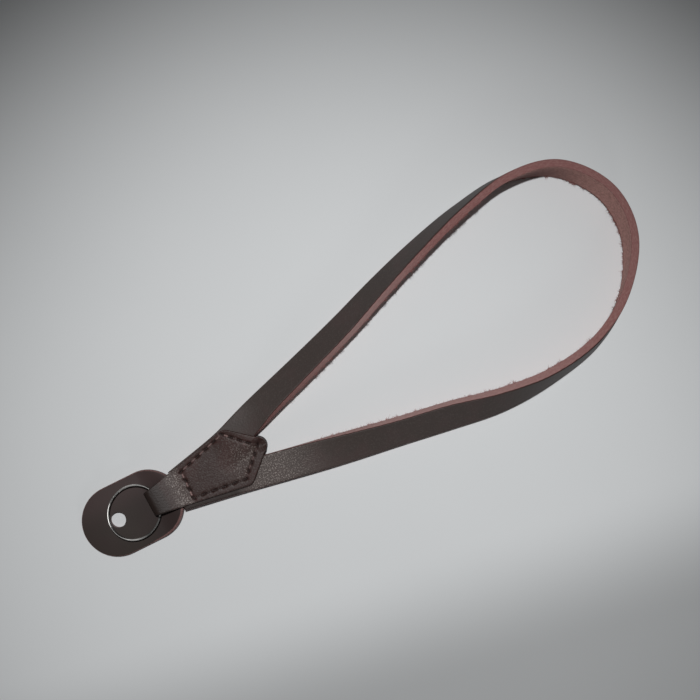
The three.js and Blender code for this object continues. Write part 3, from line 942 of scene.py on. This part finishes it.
RING_LONG = 18.4 * MM        # the wire's middle, across the ring the long way
RING_SHORT = 16.94 * MM
RING_OVAL_TURN = math.radians(32)
RING_TILT = math.radians(1.5)
RING_WIRE = 0.62 * MM
RING_COIL_PITCH = 0.7 * MM
RING_X = -4.5 * MM
RING_Y = 0.12 * MM
RING_STEP_HALF = 35          # the wire steps up this many degrees to each side of the tab
RING_END_GAP = 3             # and its two ends stop this far short of the step
RING_TURN = 4                # degrees of ring in each short length of wire

ring_radius = (RING_LONG + RING_SHORT) / 4
ring_start = RING_STEP_HALF + RING_END_GAP

bpy.ops.object.select_all(action="DESELECT")
bpy.ops.mesh.primitive_circle_add(vertices=16, radius=RING_WIRE / 2, fill_type="NGON")
ring = bpy.context.object
ring.name = "split_ring"
upright = Matrix.Translation((ring_radius, 0, 0)) @ Matrix.Rotation(math.pi / 2, 4, "X")
ring.data.transform(Matrix.Rotation(math.radians(ring_start), 4, "Z") @ upright)
bpy.ops.object.mode_set(mode="EDIT")
bpy.ops.mesh.select_all(action="SELECT")
degrees = ring_start
while degrees < 2 * 360 - ring_start:
    bpy.ops.mesh.spin(steps=1, angle=math.radians(RING_TURN), center=(0, 0, 0), axis=(0, 0, 1))
    climbed = eased([degrees, degrees + RING_TURN], 360 - RING_STEP_HALF, 360 + RING_STEP_HALF)
    climb = RING_COIL_PITCH * float(climbed[1] - climbed[0])
    bpy.ops.transform.translate(value=(0, 0, climb))
    degrees += RING_TURN
bpy.ops.mesh.select_all(action="SELECT")
bpy.ops.mesh.normals_make_consistent(inside=False)
bpy.ops.object.mode_set(mode="OBJECT")

# The steel's colour carries painted highlights: at each angle round the ring, in degrees from the tab,
# how bright it is painted; where it is painted dark, a highlight is painted out. Over the side away
# from the tab it is also worn a little flat.
RING_HIGHLIGHT = [
    (-40, 0.25),
    (36, 0.07),
    (48, 0.30),
    (66, 0.85),
    (84, 0.90),
    (100, 0.50),
    (116, 0.33),
    (132, 0.50),
    (172, 0.50),
    (188, 0.10),
    (208, 0.05),
    (220, 0.12),
    (234, 0.50),
    (252, 0.80),
    (264, 0.50),
    (276, 0.15),
    (320, 0.25),
]
DENT_FROM = 131
DENT_TO = 180
DENT_SLOPE = 0.2
DENT_RISE = DENT_SLOPE * math.radians(DENT_TO - DENT_FROM) * ring_radius
STEEL_SHADED = (0.02, 0.019, 0.018, 1)
STEEL_HIGHLIGHT = (0.98, 0.96, 0.93, 1)
STEEL_ROUGHNESS = 0.32
SCUFF_ROUGHNESS = 0.12

wire_points = read_points(ring)
wire_angle = np.degrees(np.arctan2(wire_points[:, 1], wire_points[:, 0]))
wire_angle = np.where(wire_angle < RING_HIGHLIGHT[0][0], wire_angle + 360, wire_angle)
note(ring, "ring_highlight", by_place(wire_angle, RING_HIGHLIGHT))
note(ring, "dent", by_place(wire_angle, [(DENT_FROM, 0), (DENT_TO, 1)]))

# The ring is sprung a little oval, and lies nearly level, held in the fold.
oval = Matrix.Diagonal((RING_LONG / 2 / ring_radius, RING_SHORT / 2 / ring_radius, 1, 1))
long_way = Matrix.Rotation(RING_OVAL_TURN, 4, "Z")
hang = (FOLD_X * MM - RING_X) * math.sin(RING_TILT) + RING_COIL_PITCH / 2 * math.cos(RING_TILT)
in_fold = Matrix.Translation(tab_origin + Vector((RING_X, RING_Y, FOLD_Z * MM - hang)))
ring.data.transform(long_way @ oval @ long_way.inverted())
ring.data.transform(in_fold @ Matrix.Rotation(-RING_TILT, 4, "Y"))
use_only(ring)
bpy.ops.object.shade_smooth_by_angle(angle=math.radians(50))

ring_finish = Finish("polished_steel", Metallic=0.88)
ring_place = ring_finish.add("TexCoord", {}, {}, "Object")
scuffs = ring_finish.noise(ring_place, 1.5 * MM)
# Painted highlight: the steel is painted bright or dark by angle round the ring.
ring_colour = ring_finish.mix(ring_finish.number("ring_highlight"), STEEL_SHADED, STEEL_HIGHLIGHT)
dent = ring_finish.relief(ring_finish.number("dent"), DENT_RISE)
steel_roughness = STEEL_ROUGHNESS + scuffs * SCUFF_ROUGHNESS
ring_finish.surface(Base_Color=ring_colour, Roughness=steel_roughness, Normal=dent)
ring_finish.wear(ring)
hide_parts("ring")
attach(ring, "root")

# ---- The pad -----------------------------------------------------------------------------------
# A stadium of firm leather, dyed on its face, with raw pink edges. It lies under the ring to keep
# it off the camera; a lug hole is punched near its free end, and the tab's neck passes through it.

PAD_RADIUS = 11.85 * MM
PAD_SPAN = 11.55 * MM        # between the middles of its two round ends
PAD_TURN = math.radians(-2.1)
PAD_Y = -0.2 * MM
PAD_THICK = 2 * MM
PAD_SIDES = 160
PAD_BEND_FROM = 0.5          # between these, in millimetres, the pad rises on to the tab's neck
PAD_BEND_TO = 10.5
PAD_BEND_RISE = 1.5
PAD_END_RISE = 0.7           # and past them its end curls up this much more
PAD_FACE_ROUND = 0.55 * MM
PAD_UNDER_ROUND = 0.2 * MM
PAD_LINES = 30               # the pad's tab end is sliced across, PAD_LINE_STEP apart, to bend
PAD_LINE_STEP = 0.4 * MM
LUG_HOLE = 5.2 * MM
LUG_HOLE_X = -11.1 * MM
LUG_HOLE_Y = 0.35 * MM
SLIT_X = 6.7 * MM
SLIT_WIDTH = 3.3 * MM
SLIT_LENGTH = 9 * MM

bpy.ops.object.select_all(action="DESELECT")
bpy.ops.mesh.primitive_circle_add(
    vertices=PAD_SIDES,
    radius=PAD_RADIUS,
    fill_type="NGON",
    rotation=(0, 0, math.pi / PAD_SIDES),
)
pad = bpy.context.object
pad.name = "pad_leather"
bpy.ops.object.transform_apply(location=True, rotation=True, scale=True)
bpy.ops.object.mode_set(mode="EDIT")
pick(pad, lambda point: point.co.x < 0, "VERT")
bpy.ops.transform.translate(value=(-PAD_SPAN, 0, 0))
bpy.ops.mesh.select_all(action="SELECT")
bpy.ops.mesh.extrude_region_move(TRANSFORM_OT_translate={"value": (0, 0, PAD_THICK)})
bpy.ops.mesh.select_all(action="SELECT")
bpy.ops.mesh.normals_make_consistent(inside=False)


def on_rim(edge, height):
    """Whether an edge lies on the pad's rim at that height."""
    ends = edge_ends(pad, edge)
    return all(abs(end.z - height) < 1e-6 for end in ends)


pick(pad, lambda edge: on_rim(edge, PAD_THICK))
bpy.ops.mesh.bevel(offset=PAD_FACE_ROUND, segments=5, affect="EDGES")
pick(pad, lambda edge: on_rim(edge, 0))
bpy.ops.mesh.bevel(offset=PAD_UNDER_ROUND, segments=2, affect="EDGES")
bpy.ops.object.mode_set(mode="OBJECT")


def punch(piece, cutter):
    """Cuts a hole through a piece with another, which is then thrown away."""
    use_only(piece)
    cut = piece.modifiers.new("cut", "BOOLEAN")
    cut.operation = "DIFFERENCE"
    cut.object = cutter
    cut.solver = "EXACT"
    bpy.ops.object.modifier_apply(modifier=cut.name)
    bpy.data.objects.remove(cutter)


pad.data.transform(Matrix.Translation((0, PAD_Y, 0)) @ Matrix.Rotation(PAD_TURN, 4, "Z"))
bpy.ops.mesh.primitive_cylinder_add(
    vertices=96,
    radius=LUG_HOLE / 2,
    depth=4 * PAD_THICK,
    location=(LUG_HOLE_X, LUG_HOLE_Y, 0),
)
punch(pad, bpy.context.object)
bpy.ops.mesh.primitive_cube_add(
    size=1,
    location=(SLIT_X, 0, 0),
    scale=(SLIT_WIDTH, SLIT_LENGTH, 4 * PAD_THICK),
)
punch(pad, bpy.context.object)
use_only(pad)
bpy.ops.object.mode_set(mode="EDIT")
slice_across(pad, 0, [step * PAD_LINE_STEP for step in range(1, PAD_LINES)])
bpy.ops.object.mode_set(mode="OBJECT")
note_places(pad, "hide", read_points(pad))

pad_points = read_points(pad) / MM
curl = np.maximum(pad_points[:, 0] - PAD_BEND_TO, 0) / (PAD_RADIUS / MM - PAD_BEND_TO)
bent = eased(pad_points[:, 0], PAD_BEND_FROM, PAD_BEND_TO)
pad_points[:, 2] += PAD_BEND_RISE * bent + PAD_END_RISE * curl
write_points(pad, pad_points * MM + np.array(tab_origin))
bpy.ops.object.shade_smooth_by_angle(angle=math.radians(35))

PAD_FACE = (0.038, 0.029, 0.025, 1)
PAD_FACE_RED = (0.042, 0.028, 0.026, 1)
PAD_FACE_DARKER = (0.030, 0.019, 0.018, 1)
PAD_FACE_LIGHTER = (0.060, 0.038, 0.037, 1)
PAD_RIM = (0.125, 0.064, 0.060, 1)
PAD_RIM_PALE = (0.195, 0.112, 0.105, 1)
RIM_WIDTH = 0.25 * MM        # how much of the face is left raw along the rim
RIM_MORE = 0.55 * MM         # and how much more round the corner by the tab
RIM_WAVER = 0.5 * MM
PAD_RELIEF = 0.02 * MM

pad_finish = Finish("pad_hide", Roughness=0.55, Specular_IOR_Level=0.25)
pad_hide = pad_finish.place("hide")
pad_along, pad_across, pad_height = pad_finish.parts(pad_hide)
pad_waver = pad_finish.noise(pad_hide, 1.5 * MM)
pad_fibres = pad_finish.noise(pad_hide, 0.5 * MM, detail=4)

# The rim is a stadium's: everywhere PAD_RADIUS from the line between the two round ends' middles.
spine = [PAD_SPAN * math.cos(PAD_TURN), PAD_SPAN * math.sin(PAD_TURN)]
spine_x = pad_along.held(-spine[0], 0.0)
spine_y = spine_x * (spine[1] / spine[0]) + PAD_Y
from_spine = ((pad_along - spine_x).squared() + (pad_across - spine_y).squared()).root()
by_tab = pad_along.rising(-6 * MM, 3 * MM) * pad_across.rising(2 * MM, -4 * MM)
rim_width = RIM_WIDTH + by_tab * RIM_MORE
from_rim = PAD_RADIUS - from_spine + (pad_waver - 0.5) * RIM_WAVER
on_face = pad_height.rising(1.5 * MM, 1.7 * MM)
face_dyed = (from_rim - rim_width).rising(-0.08 * MM, 0.1 * MM) * on_face

pad_edge = pad_finish.mix(pad_fibres.rising(0.4, 0.65), PAD_RIM, PAD_RIM_PALE)
pad_clouds = pad_finish.noise(pad_hide, 8 * MM).rising(0.4, 0.65) * 0.5
pad_face = pad_finish.mix(pad_clouds, PAD_FACE, PAD_FACE_RED)
# The face is darker towards the tab end and lighter towards its +Y side.
pad_face = pad_finish.mix(pad_along.rising(-10 * MM, 2 * MM) * 0.8, pad_face, PAD_FACE_DARKER)
pad_face = pad_finish.mix(pad_across.rising(1 * MM, 9 * MM) * 0.7, pad_face, PAD_FACE_LIGHTER)
pad_colour = pad_finish.mix(face_dyed, pad_edge, pad_face)
pad_finish.surface(Base_Color=pad_colour, Normal=pad_finish.relief(pad_fibres, PAD_RELIEF))
pad_finish.wear(pad)
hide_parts("lug_pad")
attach(pad, "root")

# ---- The table, the lamps and the camera -------------------------------------------------------
# A matt pale table top, a small lamp high over its back edge and a weak one low before it, soft
# light from all round, and a camera that looks straight down.

CAMERA_PLACE = (83.32 * MM, 13.2 * MM, 350 * MM)    # in the maker's frame
CAMERA_TURN = math.radians(-28.5)   # the view's right is this far round from +X
CAMERA_NEAR = 10 * MM
LENS = 54
SENSOR = 36
ROOM_LIGHT = 0.034

TABLE_SIZE = 3
TABLE_DROP = 0.05 * MM          # clear of the leather's flat underside
TABLE_GREY = (0.705, 0.724, 0.735, 1)
TABLE_PALE = (0.735, 0.752, 0.762, 1)
TABLE_SHADE = (0, 0, 0, 1)
SHADED_WAY = (-0.21, -1.02)     # painted shade darkens the table top this way from the strap
SHADED_BEYOND = (66 * MM, 112 * MM)
SHADED_SHARE = 0.42

bpy.ops.object.select_all(action="DESELECT")
bpy.ops.mesh.primitive_plane_add(size=TABLE_SIZE, location=(0, 0, -TABLE_DROP))
table = bpy.context.object
table.name = "table_top"
bpy.ops.object.transform_apply(location=True, rotation=True, scale=True)
table_finish = Finish("pale_table", Roughness=0.6)
table_place = table_finish.add("TexCoord", {}, {}, "Object")
mottle = table_finish.noise(table_place, 60 * MM, detail=2)
table_colour = table_finish.mix(mottle, TABLE_GREY, TABLE_PALE)
table_x, table_y, table_z = table_finish.parts(table_place)
# Painted shade: the table top darkens away from the strap, this way.
shaded_way = table_x * SHADED_WAY[0] + table_y * SHADED_WAY[1]
table_shade = shaded_way.rising(*SHADED_BEYOND) * SHADED_SHARE
table_colour = table_finish.mix(table_shade, table_colour, TABLE_SHADE)
table_finish.surface(Base_Color=table_colour)
table_finish.wear(table)


def lamp(name, place, aim, radius, watts, cone):
    """A round lamp whose beam fades from its middle out to the edge of a cone, in degrees."""
    light = bpy.data.lights.new(name, "SPOT")
    light.shadow_soft_size = radius
    light.energy = watts
    light.spot_size = math.radians(cone)
    light.spot_blend = 1
    holder = bpy.data.objects.new(name, light)
    holder.location = place
    holder.rotation_euler = (Vector(place) - Vector(aim)).to_track_quat("Z", "Y").to_euler()
    bpy.context.scene.collection.objects.link(holder)


lamp("key_lamp", (0.091, 0.160, 0.80), (-0.022, -0.044, 0), radius=0.018, watts=19.6, cone=33)
lamp("fill_lamp", (-0.10, -0.62, 0.25), (0, 0, 0), radius=0.06, watts=1.0, cone=40)

world = bpy.data.worlds.new("room")
bpy.context.scene.world = world
world.use_nodes = True
room_light = world.node_tree.nodes["Background"].inputs
room_light["Color"].default_value = (1, 1, 1, 1)
room_light["Strength"].default_value = ROOM_LIGHT

camera_data = bpy.data.cameras.new("camera")
camera_data.lens = LENS
camera_data.sensor_width = SENSOR
camera_data.clip_start = CAMERA_NEAR
camera = bpy.data.objects.new("camera", camera_data)
camera.location = tab_origin + Vector(CAMERA_PLACE)
camera.rotation_euler = (0, 0, CAMERA_TURN)
bpy.context.scene.collection.objects.link(camera)
bpy.context.scene.camera = camera
bpy.context.scene.view_settings.view_transform = "Standard"

for guide in (strap_rail, tab_rail):
    bpy.data.objects.remove(guide)
